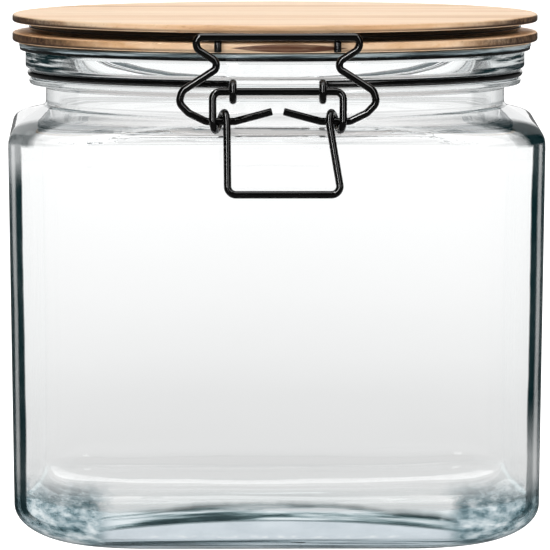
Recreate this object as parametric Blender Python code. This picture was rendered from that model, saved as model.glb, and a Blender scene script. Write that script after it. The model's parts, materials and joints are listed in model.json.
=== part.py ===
"""Bail clamp jar: a squat, square glass jar with a round neck, a two-board
wooden lid and a bent-wire clamp.

Frame: +Z up, origin at the middle of the base, -Y is the front (latch side),
+Y the rear (hinge side), -X the left. Dimensions are in millimetres, and are
turned into metres by MM as each object is made.

The four wires are one continuous piece each. The neck ring holds the lever's
pivot bar in two eyes at the front and rises at the rear as the hinge pin. The
lid ring lies in the groove between the two boards, coils round the hinge pin
at the rear and ends at the front in two hooks behind the bail's bar. The
lever turns in the neck ring's eyes, and the bail's ends turn in the lever's
coils, just behind the line from the lever's pivot to the bail's bar, so the
clamp snaps over centre when it closes.
"""

import math

import bmesh
import bpy
from mathutils import Vector

for old in list(bpy.data.objects):
    bpy.data.objects.remove(old, do_unlink=True)

MM = 0.001

# ---------------------------------------------------------------- dimensions
GAP = 0.3  # clearance between neighbours
WIRE = 1.0  # wire radius
EYE = 2 * WIRE + GAP  # centreline radius of an eye or coil round another wire
BEND = 2.0  # usual centreline bend radius

# Mesh fineness
SECTION_POINTS = 56  # points round the glass
TURNS = 64  # steps of a turned piece
HEEL_STEPS = 5
SHARP_ANGLE = 35.0  # edges steeper than this are shaded sharp

# Glass body
BODY_HALF_TOP = 70.6  # half width just below the shoulder
BODY_HALF_LOW = 69.1  # half width just above the heel
BODY_CORNER = 24.0  # plan radius of the four upright corners
SHOULDER_Z = 106.8  # where the upright sides end
WALL = 3.1
HEEL_RISE, HEEL_IN = 12.0, 24.0  # heel: an ellipse, this high and this far in
HEEL_CORNER_LOSS = 10.0  # how much the plan radius shrinks down the heel
FLOOR_Z = 7.0  # inside of the thick base
FLOOR_R = 20.0  # innermost section of the floor
INNER_HEEL_RISE, INNER_HEEL_IN, INNER_CORNER_LOSS = 9.0, HEEL_IN - 1.0, 8.0
PUNT_HALF, PUNT_RISE = 35.0, 1.4  # hollow under the base

# Glass neck
NECK_R = 61.1
NECK_FOOT_Z = 115.0
BORE_R = 57.9
COLLAR_R, COLLAR_LOW_Z, COLLAR_TOP_Z = 65.5, 120.3, 122.0  # bead under the wire
WIRE_SEAT_R = 63.7  # glass behind the neck ring
NECK_RING_R = WIRE_SEAT_R + GAP + WIRE
NECK_RING_Z = COLLAR_TOP_Z + GAP + WIRE
BEAD_R, BEAD_LOW_Z = 66.5, NECK_RING_Z + WIRE + GAP  # sealing rim
RIM_Z = 129.95

# Lid
HEIGHT = 139.0  # top of the lid
LID_R = 70.0
BOARD_EDGE = 0.7  # rounding of the boards' rims
UPPER_LOW_Z = 136.9
LOWER_TOP_Z, LOWER_LOW_Z = 134.2, 131.7
CORE_R = 63.3  # bottom of the groove between the boards
PLUG_R, PLUG_LOW_Z = 56.4, 130.3
PLUG_EDGE = 0.4
GASKET_R, GASKET_IN_R = 68.2, 56.9
GASKET_TOP_Z, GASKET_LOW_Z = LOWER_LOW_Z - GAP, PLUG_LOW_Z
GASKET_EDGE = 0.25
LID_RING_R = CORE_R + GAP + WIRE
LID_RING_Z = (UPPER_LOW_Z + LOWER_TOP_Z) / 2  # halfway up the groove

# Joint axes, all along X
HINGE_Y, HINGE_Z = 72.6, 129.5
PIVOT_Y, PIVOT_Z = -72.0, 121.8  # lever bar in the neck ring's eyes
KNEE_Y, KNEE_Z = -71.3, 114.0  # bail ends in the lever's coils


# ---------------------------------------------------------- materials
def material(name, colour, roughness, metallic=0.0, transmission=0.0, ior=1.5):
    made = bpy.data.materials.new(name)
    made.use_nodes = True
    shader = made.node_tree.nodes["Principled BSDF"]
    shader.inputs["Base Color"].default_value = (*colour, 1.0)
    shader.inputs["Roughness"].default_value = roughness
    shader.inputs["Metallic"].default_value = metallic
    shader.inputs["Transmission Weight"].default_value = transmission
    shader.inputs["IOR"].default_value = ior
    made.diffuse_color = (*colour, 1.0)
    return made


def black_wire(name):
    return material(name, colour=(0.012, 0.012, 0.013), roughness=0.16, metallic=0.4)


GLASS = material(
    "clear_glass", colour=(0.93, 0.97, 0.96), roughness=0.02, transmission=1.0, ior=1.52
)
WOOD_UPPER = material("light_wood_upper", colour=(0.86, 0.66, 0.46), roughness=0.45)
WOOD_LOWER = material("light_wood_lower", colour=(0.82, 0.60, 0.38), roughness=0.5)
SILICONE = material("grey_silicone", colour=(0.36, 0.42, 0.44), roughness=0.35)
BLACK_NECK = black_wire("black_wire_neck")
BLACK_LID = black_wire("black_wire_lid")
BLACK_BAIL = black_wire("black_wire_bail")
BLACK_LEVER = black_wire("black_wire_lever")


# ------------------------------------------------------------ object helpers
def vec(x, y, z):
    return Vector((x, y, z))


def axis_empty(name, at, parent=None):
    """An empty on a joint's axis. It keeps its place, in mm, as "at"."""
    empty = bpy.data.objects.new(name, None)
    empty.empty_display_size = 0.02
    bpy.context.scene.collection.objects.link(empty)
    empty.parent = parent
    empty.location = (Vector(at) - origin_of(parent)) * MM
    empty["at"] = at
    return empty


def origin_of(joint):
    return Vector(joint["at"]) if joint else vec(0.0, 0.0, 0.0)


def place(name, data, finish, joint):
    """Links an object whose points are already relative to its joint."""
    data.materials.append(finish)
    placed = bpy.data.objects.new(name, data)
    bpy.context.scene.collection.objects.link(placed)
    placed.parent = joint


def mesh_object(name, bm, finish, joint=None):
    bmesh.ops.recalc_face_normals(bm, faces=bm.faces[:])
    bmesh.ops.translate(bm, verts=bm.verts[:], vec=-origin_of(joint))
    bmesh.ops.scale(bm, verts=bm.verts[:], vec=(MM, MM, MM))
    mesh = bpy.data.meshes.new(name)
    bm.to_mesh(mesh)
    bm.free()
    mesh.shade_smooth()
    mesh.set_sharp_from_angle(angle=math.radians(SHARP_ANGLE))
    place(name, mesh, finish, joint)


def turned(name, profile, finish, joint, closed=False):
    """A profile of (radius, z) spun round Z. An open one starts and ends on
    the axis; a closed one makes a ring."""
    bm = bmesh.new()
    verts = [bm.verts.new((radius, 0.0, z)) for radius, z in profile]
    edges = [bm.edges.new(pair) for pair in zip(verts, verts[1:])]
    if closed:
        edges.append(bm.edges.new((verts[-1], verts[0])))
    bmesh.ops.spin(
        bm,
        geom=verts + edges,
        axis=(0.0, 0.0, 1.0),
        cent=(0.0, 0.0, 0.0),
        angle=2 * math.pi,
        steps=TURNS,
        use_merge=True,
    )
    # the copies of a point on the axis become one
    bmesh.ops.remove_doubles(bm, verts=bm.verts[:], dist=1e-4)
    mesh_object(name, bm, finish, joint)


def wire(name, points, finish, joint=None, cyclic=False):
    """A round wire along a centreline: a curve with a round bevel and caps."""
    clean = [points[0]]
    for point in points[1:]:
        if (point - clean[-1]).length > 0.05:  # drops repeated points
            clean.append(point)
    curve = bpy.data.curves.new(name, "CURVE")
    curve.dimensions = "3D"
    curve.bevel_depth = WIRE * MM
    curve.bevel_resolution = 2
    curve.use_fill_caps = True
    spline = curve.splines.new("POLY")
    spline.points.add(len(clean) - 1)
    origin = origin_of(joint)
    for spline_point, point in zip(spline.points, clean):
        spline_point.co = (*((point - origin) * MM), 1.0)
    spline.use_cyclic_u = cyclic
    spline.use_smooth = True
    place(name, curve, finish, joint)


# -------------------------------------------------------- centreline helpers
def arc_steps(start, end, step):
    """(share of the arc, angle in radians) along an arc given in degrees."""
    count = max(2, int(round(abs(end - start) / step)))
    return [
        (k / count, math.radians(start + (end - start) * k / count))
        for k in range(count + 1)
    ]


def arc_yz(x_start, x_end, y, z, start, end):
    """An eye or coil round a line along X, its X moving evenly from x_start
    to x_end. Angles are in degrees from +Y towards +Z."""
    return [
        vec(
            x_start + (x_end - x_start) * share,
            y + EYE * math.cos(angle),
            z + EYE * math.sin(angle),
        )
        for share, angle in arc_steps(start, end, step=20.0)
    ]


def arc_xy(radius, z, start, end):
    """A level arc round Z, angles in degrees from +X towards +Y."""
    return [
        vec(radius * math.cos(angle), radius * math.sin(angle), z)
        for _, angle in arc_steps(start, end, step=6.0)
    ]


def tangent_angle(from_y, from_z, y, z, side):
    """Angle, in degrees from +Y towards +Z, at which a line from a point
    touches an eye or coil. side is +1 or -1 for either of the two tangents."""
    dy, dz = from_y - y, from_z - z
    away = math.hypot(dy, dz)
    return math.degrees(math.atan2(dz, dy) + side * math.acos(EYE / away))


def bent(corners, step=22.5):
    """A bent wire's centreline. corners is a list of (point, bend radius):
    a radius of 0 keeps the point as it is."""
    points = [corners[0][0]]
    for (before, _), (here, radius), (after, _) in zip(
        corners, corners[1:], corners[2:]
    ):
        if radius <= 0:
            points.append(here)
            continue
        back = (before - here).normalized()
        ahead = (after - here).normalized()
        half_angle = back.angle(ahead) / 2
        reach = radius / math.tan(half_angle)
        centre = here + (back + ahead).normalized() * (radius / math.sin(half_angle))
        first = here + back * reach - centre
        last = here + ahead * reach - centre
        sweep = first.angle(last)
        count = max(2, int(round(math.degrees(sweep) / step)))
        for k in range(count + 1):
            share = k / count
            first_weight = math.sin((1 - share) * sweep) / math.sin(sweep)
            last_weight = math.sin(share * sweep) / math.sin(sweep)
            points.append(centre + first * first_weight + last * last_weight)
    points.append(corners[-1][0])
    return points


def keep(points):
    """Points that are part of a bent() list and need no bend."""
    return [(point, 0.0) for point in points]


def with_mirror(points):
    """A path that ends on X = 0, carried on by its mirror image."""
    return points + [vec(-point.x, point.y, point.z) for point in reversed(points)][1:]


def left_half_ring(radius, z, front, rear):
    """bent() corners of a ring's left half, from front to rear. front and
    rear are (distance from X = 0 where the wire leaves the ring on a tangent,
    distance where that tangent ends in a bend)."""

    def leaving(leave_x, side):
        return math.degrees(math.atan2(side * math.sqrt(radius**2 - leave_x**2), -leave_x))

    def tangent_rise(leave_x, bend_x):
        return (leave_x - bend_x) * leave_x / math.sqrt(radius**2 - leave_x**2)

    ring = arc_xy(radius, z, leaving(front[0], -1), leaving(rear[0], 1) - 360.0)
    return [
        (vec(-front[1], ring[0].y - tangent_rise(*front), z), BEND),
        *keep(ring),
        (vec(-rear[1], ring[-1].y + tangent_rise(*rear), z), BEND),
    ]


# --------------------------------------------------------------------- glass
FLAT_WEIGHT = 0.4  # spaces points wider on the flats than on the corners

# The neck's outside, from the foot up and over the rim: (radius, z)
NECK_OUTLINE = [
    (NECK_R, NECK_FOOT_Z),
    (NECK_R, COLLAR_LOW_Z - 0.7),
    (NECK_R + 1.0, COLLAR_LOW_Z - 0.1),
    # collar
    (COLLAR_R - 0.6, COLLAR_LOW_Z + 0.3),
    (COLLAR_R, COLLAR_LOW_Z + 0.9),
    (COLLAR_R - 0.9, COLLAR_TOP_Z),
    # wire seat
    (WIRE_SEAT_R, COLLAR_TOP_Z + 0.3),
    (WIRE_SEAT_R, BEAD_LOW_Z - 0.3),
    (WIRE_SEAT_R + 0.7, BEAD_LOW_Z),
    # sealing rim
    (BEAD_R - 0.5, BEAD_LOW_Z + 0.3),
    (BEAD_R, BEAD_LOW_Z + 1.0),
    (BEAD_R, RIM_Z - 1.2),
    (BEAD_R - 0.4, RIM_Z - 0.4),
    (BEAD_R - 1.3, RIM_Z),
    # bore
    (BORE_R + 1.6, RIM_Z),
    (BORE_R + 0.4, RIM_Z - 0.6),
    (BORE_R, RIM_Z - 1.5),
    (BORE_R, NECK_FOOT_Z - 2.0),
]

# Shoulder stations: (z, share of the way in to the neck, share of the way
# from the body's corner radius to a full circle)
SHOULDER_STEP = (NECK_FOOT_Z - SHOULDER_Z) / 6
OUTER_SHOULDER = [
    (SHOULDER_Z + SHOULDER_STEP, 0.025, 0.02),
    (SHOULDER_Z + SHOULDER_STEP * 2, 0.09, 0.07),
    (SHOULDER_Z + SHOULDER_STEP * 3, 0.22, 0.21),
    (SHOULDER_Z + SHOULDER_STEP * 4, 0.43, 0.46),
    (SHOULDER_Z + SHOULDER_STEP * 5, 0.74, 0.79),
]
INNER_SHOULDER = [
    (111.9, 0.75, 0.80),
    (110.9, 0.52, 0.54),
    (109.8, 0.28, 0.27),
    (108.7, 0.11, 0.09),
    (107.0, 0.02, 0.01),
]


def square(half, corner, z):
    """A closed rounded square at height z. A corner radius equal to the half
    width makes a circle, so neck and body share one numbering."""
    flat = half - corner
    arc = corner * math.pi / 2
    total = 2 * FLAT_WEIGHT * flat + arc
    quarter = SECTION_POINTS // 4
    points = []
    for turn in range(4):
        cosine, sine = math.cos(turn * math.pi / 2), math.sin(turn * math.pi / 2)
        for k in range(quarter):
            along = total * k / quarter
            if along < FLAT_WEIGHT * flat:
                x, y = half, along / FLAT_WEIGHT
            elif along <= FLAT_WEIGHT * flat + arc:
                angle = (along - FLAT_WEIGHT * flat) / corner
                x = flat + corner * math.cos(angle)
                y = flat + corner * math.sin(angle)
            else:
                x, y = (total - along) / FLAT_WEIGHT, half
            points.append(vec(cosine * x - sine * y, sine * x + cosine * y, z))
    return points


def circle(radius, z):
    return square(radius, radius, z)


def heel(half, corner, inward, corner_loss, low_z, rise):
    """Sections up an elliptical heel, ending at the full half width."""
    sections = []
    for k in range(HEEL_STEPS + 1):
        angle = k / HEEL_STEPS * math.pi / 2
        short = 1 - math.sin(angle)
        sections.append(
            square(
                half - inward * short,
                corner - corner_loss * short,
                low_z + rise * (1 - math.cos(angle)),
            )
        )
    return sections


def shoulder(body_half, corner, neck_radius, stations):
    """The square closes to a circle as it runs in to the neck."""
    sections = []
    for z, inward, roundness in stations:
        half = body_half - (body_half - neck_radius) * inward
        sections.append(square(half, corner + (half - corner) * roundness, z))
    return sections


def glass_sections():
    """From the middle of the base's underside, out and up the outside, over
    the rim, down the inside to the middle of the floor."""
    inner_corner = BODY_CORNER - WALL
    inner_heel = heel(
        BODY_HALF_LOW - WALL,
        inner_corner,
        INNER_HEEL_IN,
        INNER_CORNER_LOSS,
        FLOOR_Z,
        INNER_HEEL_RISE,
    )
    return [
        # hollow under the base, then the flat ring that it stands on
        circle(PUNT_HALF * 0.5, PUNT_RISE),
        square(PUNT_HALF * 0.9, PUNT_HALF * 0.5, PUNT_RISE * 0.75),
        square(PUNT_HALF + 1.5, PUNT_HALF * 0.42, 0.0),
        *heel(BODY_HALF_LOW, BODY_CORNER, HEEL_IN, HEEL_CORNER_LOSS, 0.0, HEEL_RISE),
        square(BODY_HALF_TOP, BODY_CORNER, SHOULDER_Z),
        *shoulder(BODY_HALF_TOP, BODY_CORNER, NECK_R, OUTER_SHOULDER),
        *(circle(radius, z) for radius, z in NECK_OUTLINE),
        *shoulder(BODY_HALF_TOP - WALL, inner_corner, BORE_R, INNER_SHOULDER),
        *reversed(inner_heel),
        circle(FLOOR_R, FLOOR_Z),
    ]


def build_glass():
    """Skins the sections and caps the underside and the floor."""
    bm = bmesh.new()
    rings = [[bm.verts.new(point) for point in points] for points in glass_sections()]
    for low, high in zip(rings, rings[1:]):
        for i in range(len(low)):
            j = (i + 1) % len(low)
            bm.faces.new((low[i], low[j], high[j], high[i]))
    caps = [bm.faces.new(ring) for ring in (rings[0], rings[-1])]
    bmesh.ops.poke(bm, faces=caps)
    mesh_object("glass_jar", bm, GLASS)


# ----------------------------------------------------------------------- lid
def board_rim(top_z, low_z):
    """A board's rounded rim, from top to bottom."""
    nick = 0.3 * BOARD_EDGE
    return [
        (LID_R - BOARD_EDGE, top_z),
        (LID_R - nick, top_z - nick),
        (LID_R, top_z - BOARD_EDGE),
        (LID_R, low_z + BOARD_EDGE),
        (LID_R - nick, low_z + nick),
        (LID_R - BOARD_EDGE, low_z),
    ]


def build_upper_board(joint):
    profile = [(0.0, HEIGHT), *board_rim(HEIGHT, UPPER_LOW_Z), (0.0, UPPER_LOW_Z)]
    turned("lid_upper_board", profile, WOOD_UPPER, joint)


def build_lower_board(joint):
    """The lower board, with the groove's core above and the plug below."""
    profile = [
        (0.0, UPPER_LOW_Z - GAP),
        (CORE_R, UPPER_LOW_Z - GAP),
        (CORE_R, LOWER_TOP_Z),
        *board_rim(LOWER_TOP_Z, LOWER_LOW_Z),
        (PLUG_R, LOWER_LOW_Z),
        (PLUG_R, PLUG_LOW_Z + PLUG_EDGE),
        (PLUG_R - PLUG_EDGE, PLUG_LOW_Z),
        (0.0, PLUG_LOW_Z),
    ]
    turned("lid_lower_board", profile, WOOD_LOWER, joint)


def build_gasket(joint):
    profile = [
        (GASKET_IN_R, GASKET_TOP_Z),
        (GASKET_R - GASKET_EDGE, GASKET_TOP_Z),
        (GASKET_R, GASKET_TOP_Z - GASKET_EDGE),
        (GASKET_R, GASKET_LOW_Z + GASKET_EDGE),
        (GASKET_R - GASKET_EDGE, GASKET_LOW_Z),
        (GASKET_IN_R, GASKET_LOW_Z),
    ]
    turned("lid_gasket", profile, SILICONE, joint, closed=True)


# ------------------------------------------------------------ neck ring wire
EYE_X = 11.7
EYE_END_ANGLE = 332.0  # where the eye's free end stops
EYE_LEG_Y = -67.0  # where the level leg turns down on to the eye
NECK_LEAVE_X = 20.5  # where the wire leaves the ring, front and rear
RISER_X = 14.5
RISER_FOOT_Y = HINGE_Y - 2.4


def build_neck_ring():
    """The left half runs from the front eye's free end to the hinge pin's middle."""
    eye_top = tangent_angle(EYE_LEG_Y, NECK_RING_Z, PIVOT_Y, PIVOT_Z, side=1)
    eye = arc_yz(-EYE_X, -EYE_X, PIVOT_Y, PIVOT_Z, EYE_END_ANGLE, eye_top)
    ring_and_pin = bent(
        [
            (vec(-EYE_X, EYE_LEG_Y, NECK_RING_Z), 0.0),
            *left_half_ring(
                NECK_RING_R,
                NECK_RING_Z,
                front=(NECK_LEAVE_X, EYE_X),
                rear=(NECK_LEAVE_X, RISER_X),
            ),
            (vec(-RISER_X, RISER_FOOT_Y, NECK_RING_Z), BEND),
            (vec(-RISER_X, HINGE_Y, HINGE_Z), BEND),
            (vec(0.0, HINGE_Y, HINGE_Z), 0.0),
        ]
    )
    wire("neck_ring_wire", with_mirror(eye + ring_and_pin), BLACK_NECK)


# ------------------------------------------------------------- lid ring wire
HOOK_X, HOOK_Y, HOOK_LOW_Z = 15.6, -69.6, 131.9
HOOK_BEND = 1.5
COIL_X_OUT, COIL_X_IN = 10.0, 7.6
LID_LEAVE_FRONT_X, LID_LEAVE_REAR_X = 21.5, 16.0  # where the wire leaves the ring
CROSS_Z = HINGE_Z - 1.7  # bar that joins the two rear coils
CROSS_BEND = 1.3


def build_lid_ring(joint):
    """The left half runs from the front hook's free end to the middle of the
    bar that joins the two rear coils."""
    coil_y = HINGE_Y + EYE  # rear of the coils
    coil = arc_yz(-COIL_X_OUT, -COIL_X_IN, HINGE_Y, HINGE_Z, 0.0, -360.0)
    left_half = bent(
        [
            (vec(-HOOK_X, HOOK_Y, HOOK_LOW_Z), 0.0),
            (vec(-HOOK_X, HOOK_Y, LID_RING_Z), HOOK_BEND),
            *left_half_ring(
                LID_RING_R,
                LID_RING_Z,
                front=(LID_LEAVE_FRONT_X, HOOK_X),
                rear=(LID_LEAVE_REAR_X, COIL_X_OUT),
            ),
            (vec(-COIL_X_OUT, coil_y, LID_RING_Z), BEND),
            *keep(coil),
            (vec(-COIL_X_IN, coil_y, CROSS_Z), CROSS_BEND),
            (vec(0.0, coil_y, CROSS_Z), 0.0),
        ]
    )
    wire("lid_ring_wire", with_mirror(left_half), BLACK_LID, joint)


# --------------------------------------------------------------------- lever
LEVER_X_OUT, LEVER_X_IN = 17.0, 13.3  # outer and inner ends of the coils
HANDLE_Y, HANDLE_LOW_Z = -74.93, 95.1
HANDLE_LEFT_X, HANDLE_RIGHT_X = 13.1, 16.5  # the handle is not symmetrical
HANDLE_BEND = 2.2


def lever_side(side, low_x):
    """One side, from the middle of the pivot bar to the middle of the
    handle's lower bar. The wire makes one turn round the bail's end."""
    x_out, x_in = side * LEVER_X_OUT, side * LEVER_X_IN
    into = tangent_angle(PIVOT_Y, PIVOT_Z, KNEE_Y, KNEE_Z, side=1)
    out = tangent_angle(HANDLE_Y, HANDLE_LOW_Z, KNEE_Y, KNEE_Z, side=-1)
    coil = arc_yz(x_out, x_in, KNEE_Y, KNEE_Z, into, out % 360.0 + 360.0)
    return bent(
        [
            (vec(0.0, PIVOT_Y, PIVOT_Z), 0.0),
            (vec(x_out, PIVOT_Y, PIVOT_Z), BEND),
            *keep(coil),
            (vec(side * low_x, HANDLE_Y, HANDLE_LOW_Z), HANDLE_BEND),
            (vec(0.0, HANDLE_Y, HANDLE_LOW_Z), 0.0),
        ]
    )


def build_lever(joint):
    left = lever_side(-1, HANDLE_LEFT_X)
    right = lever_side(1, HANDLE_RIGHT_X)
    # the sides share their first and last points
    loop = left + right[-2:0:-1]
    wire("lever_handle_wire", loop, BLACK_LEVER, joint, cyclic=True)


# ---------------------------------------------------------------------- bail
BAR_Y, BAR_Z = -72.0, 136.0

# From the free tip to the middle of the bar:
# (distance from X = 0, z, bend radius)
BAIL_CORNERS = [
    (1.5, 116.6, 0.0),  # free tip
    (LEVER_X_IN - 2.0, KNEE_Z, 2.5),  # through the lever's coil
    (LEVER_X_OUT + 1.7, KNEE_Z, 2.5),
    (23.2, KNEE_Z + 2.2, 3.0),  # elbow
    (25.8, 118.9, 2.4),
    (24.9, 122.0, 2.4),
    (14.5, 128.7, 1.8),  # waist
    (21.1, 132.9, 2.4),  # leg
    (21.4, BAR_Z, 1.5),  # end of the bar
    (0.0, BAR_Z, 0.0),
]


def build_bail(joint):
    """The bail lies in one plane, from the knee to its bar."""
    lean = (BAR_Y - KNEE_Y) / (BAR_Z - KNEE_Z)
    corners = [
        (vec(-x, KNEE_Y + lean * (z - KNEE_Z), z), radius)
        for x, z, radius in BAIL_CORNERS
    ]
    wire("bail_wire", with_mirror(bent(corners, step=18.0)), BLACK_BAIL, joint)


# ------------------------------------------------------------------ assembly
lid_hinge = axis_empty("lid_hinge_axis", (0.0, HINGE_Y, HINGE_Z))
lever_pivot = axis_empty("lever_pivot_axis", (0.0, PIVOT_Y, PIVOT_Z))
bail_pivot = axis_empty("bail_pivot_axis", (0.0, KNEE_Y, KNEE_Z), lever_pivot)

build_glass()
build_upper_board(lid_hinge)
build_lower_board(lid_hinge)
build_gasket(lid_hinge)
build_neck_ring()
build_lid_ring(lid_hinge)
build_lever(lever_pivot)
build_bail(bail_pivot)
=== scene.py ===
"""A square glass jar with a round wooden lid, a silicone seal and a black wire clasp.

The jar stands on z = 0 with its axis on Z. Its clasp is at the front (-Y), the lid's
hinge at the back (+Y), and its flat sides face X and Y. Shapes are in millimetres;
materials and the stage are in metres.
"""

import json
import math
from types import SimpleNamespace

import bmesh
import bpy
import numpy as np
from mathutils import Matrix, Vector, noise

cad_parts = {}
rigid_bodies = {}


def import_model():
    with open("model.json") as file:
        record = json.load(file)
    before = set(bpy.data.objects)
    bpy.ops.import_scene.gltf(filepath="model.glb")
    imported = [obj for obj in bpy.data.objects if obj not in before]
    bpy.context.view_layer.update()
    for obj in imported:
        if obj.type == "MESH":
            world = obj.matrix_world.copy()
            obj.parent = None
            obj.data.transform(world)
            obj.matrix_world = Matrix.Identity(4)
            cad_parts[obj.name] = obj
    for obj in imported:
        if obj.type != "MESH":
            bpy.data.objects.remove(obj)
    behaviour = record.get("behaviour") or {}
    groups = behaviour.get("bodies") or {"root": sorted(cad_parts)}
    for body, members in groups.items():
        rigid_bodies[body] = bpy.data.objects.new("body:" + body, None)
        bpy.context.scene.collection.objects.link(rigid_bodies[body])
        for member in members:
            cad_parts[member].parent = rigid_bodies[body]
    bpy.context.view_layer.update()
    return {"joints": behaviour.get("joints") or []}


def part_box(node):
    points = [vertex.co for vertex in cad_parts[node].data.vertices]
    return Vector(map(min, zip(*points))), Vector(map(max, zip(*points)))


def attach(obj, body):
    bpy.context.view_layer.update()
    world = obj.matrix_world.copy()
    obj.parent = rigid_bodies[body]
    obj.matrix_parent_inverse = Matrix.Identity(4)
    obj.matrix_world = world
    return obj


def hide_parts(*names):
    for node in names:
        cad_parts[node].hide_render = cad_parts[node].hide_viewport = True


for old in list(bpy.data.objects):
    bpy.data.objects.remove(old, do_unlink=True)

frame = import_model()
MM = 0.001
JOINTS = {joint["name"]: joint for joint in frame["joints"]}


def mm_box(node):
    low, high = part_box(node)
    return low / MM, high / MM


def joint_yz(name):
    return [value / MM for value in JOINTS[name]["pos_m"][1:]]


# ------------------------------------------------------- sizes, from the frame
_, glass_high = mm_box("glass_jar")
upper_low, upper_high = mm_box("lid_upper_board")
lower_low, _ = mm_box("lid_lower_board")
seal_low, seal_high = mm_box("lid_gasket")
HINGE_Y, HINGE_Z = joint_yz("lid_hinge")
PIVOT_Y, PIVOT_Z = joint_yz("lever_pivot")
KNEE_Y, KNEE_Z = joint_yz("bail_swing")

# glass body: half widths across the flats, and radii of its upright corners
BODY_HALF_TOP = glass_high.x
BODY_HALF_LOW = BODY_HALF_TOP - 1.5
BODY_CORNER = 24.0
WALL = 3.1
SHOULDER_Z, NECK_FOOT_Z = 106.8, 115.0
HEEL_RISE, HEEL_IN, HEEL_CORNER_IN = 12.0, 24.0, 10.0
FLOOR_Z = 7.0
FLOOR_RISE, FLOOR_CORNER_IN = 9.0, 8.0  # the curve from the floor into the wall
INNER_TOP_Z = 103.0  # the straight inner wall ends here
HOLLOW_RISE = 1.4  # the shallow hollow under the base
BASE_COLUMNS = 208  # points round each glass section

# glass neck
RIM_Z = glass_high.z
NECK_R, BORE_R, BEAD_R = 61.1, 57.9, 66.5
BEAD_LOW_Z, COLLAR_R, COLLAR_LOW_Z, COLLAR_TOP_Z = 124.6, 65.5, 120.3, 122.0
WIRE_SEAT_R = 63.7

# lid and seal
LID_R = upper_high.x
TOP_Z, UPPER_LOW_Z = upper_high.z, upper_low.z
CORE_R, CORE_TOP_Z = 63.3, UPPER_LOW_Z - 0.3
LOWER_TOP_Z, LOWER_LOW_Z = 134.2, 131.7
GROOVE_Z = (LOWER_TOP_Z + UPPER_LOW_Z) / 2
PLUG_R, PLUG_LOW_Z = 56.4, lower_low.z
SEAL_R, SEAL_IN_R = seal_high.x, 56.9
LIP_R = SEAL_R - 0.15
LIP_TOP_Z, LIP_LOW_Z, LIP_IN_R = 130.25, 129.4, 66.95

# wires: centreline places
WIRE_R = 1.0
EYE_R = 2 * WIRE_R + 0.3  # eyes and coils wrapped round another wire
BEND = 2.0
NECK_RING_R, NECK_RING_Z = 65.0, 123.3
NECK_RING_END_X = 20.5  # the wire leaves the ring at this x, front and back
EYE_X, EYE_LEG_Y, RISER_X = 11.7, -67.0, 14.5
LID_RING_R, LID_RING_Z = 64.6, 135.55
LID_RING_FRONT_X, LID_RING_REAR_X = 21.5, 16.0
COIL_X_OUT, COIL_X_IN, CROSS_DROP = 10.0, 7.6, 1.7
HOOK_X, HOOK_Y, HOOK_LOW_Z = 15.6, -69.6, 131.9
LEVER_X_OUT, LEVER_X_IN = 17.0, 13.3
HANDLE_Y, HANDLE_LOW_Z = -74.93, 95.1
HANDLE_LEFT_X, HANDLE_RIGHT_X = 13.1, 16.5
BAR_Y, BAR_Z = -72.0, 136.0
ELBOW_X, ELBOW_Z = 25.8, 120.2

# Left half of the bail from its lower tip to its top bar: (distance from the
# middle, z, bend radius). A radius of 0 keeps the point.
BAIL_CORNERS = [
    (1.5, 116.6, 0.0),
    (LEVER_X_IN - 2.0, KNEE_Z, 2.5),
    (LEVER_X_OUT + 1.7, KNEE_Z, 2.5),
    (ELBOW_X - 2.6, KNEE_Z + 2.2, 3.0),
    (ELBOW_X, ELBOW_Z - 1.3, 2.4),
    (ELBOW_X - 0.9, ELBOW_Z + 1.8, 2.4),
    (14.5, 128.7, 1.8),
    (21.1, 132.9, 2.4),
    (21.4, BAR_Z, 1.5),
    (0.0, BAR_Z, 0.0),
]

# Middle of the glass underside: (radius, z).
UNDERSIDE = [(6.0, 1.62), (14.0, 1.58), (22.0, 1.5)]

# How the glass narrows from the square body to the round neck: (place, share of
# the way in, share of the way to a circle). Places run from 0 at SHOULDER_Z to 1
# at NECK_FOOT_Z outside, and are z inside.
OUTER_SHOULDER = [
    (-0.3, 0.0, 0.0), (0.0, 0.004, 0.004), (1 / 6, 0.025, 0.02), (2 / 6, 0.09, 0.07),
    (3 / 6, 0.22, 0.21), (4 / 6, 0.43, 0.46), (5 / 6, 0.74, 0.79), (0.96, 0.955, 0.97),
    (1.1, 1.0, 1.0), (1.2, 1.0, 1.0),
]
INNER_SHOULDER = [
    (103.0, 0.0, 0.0), (107.0, 0.02, 0.01), (108.7, 0.11, 0.09), (109.8, 0.28, 0.27),
    (110.9, 0.52, 0.54), (111.9, 0.75, 0.80), (112.9, 0.93, 0.95), (114.4, 1.0, 1.0),
]

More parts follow.
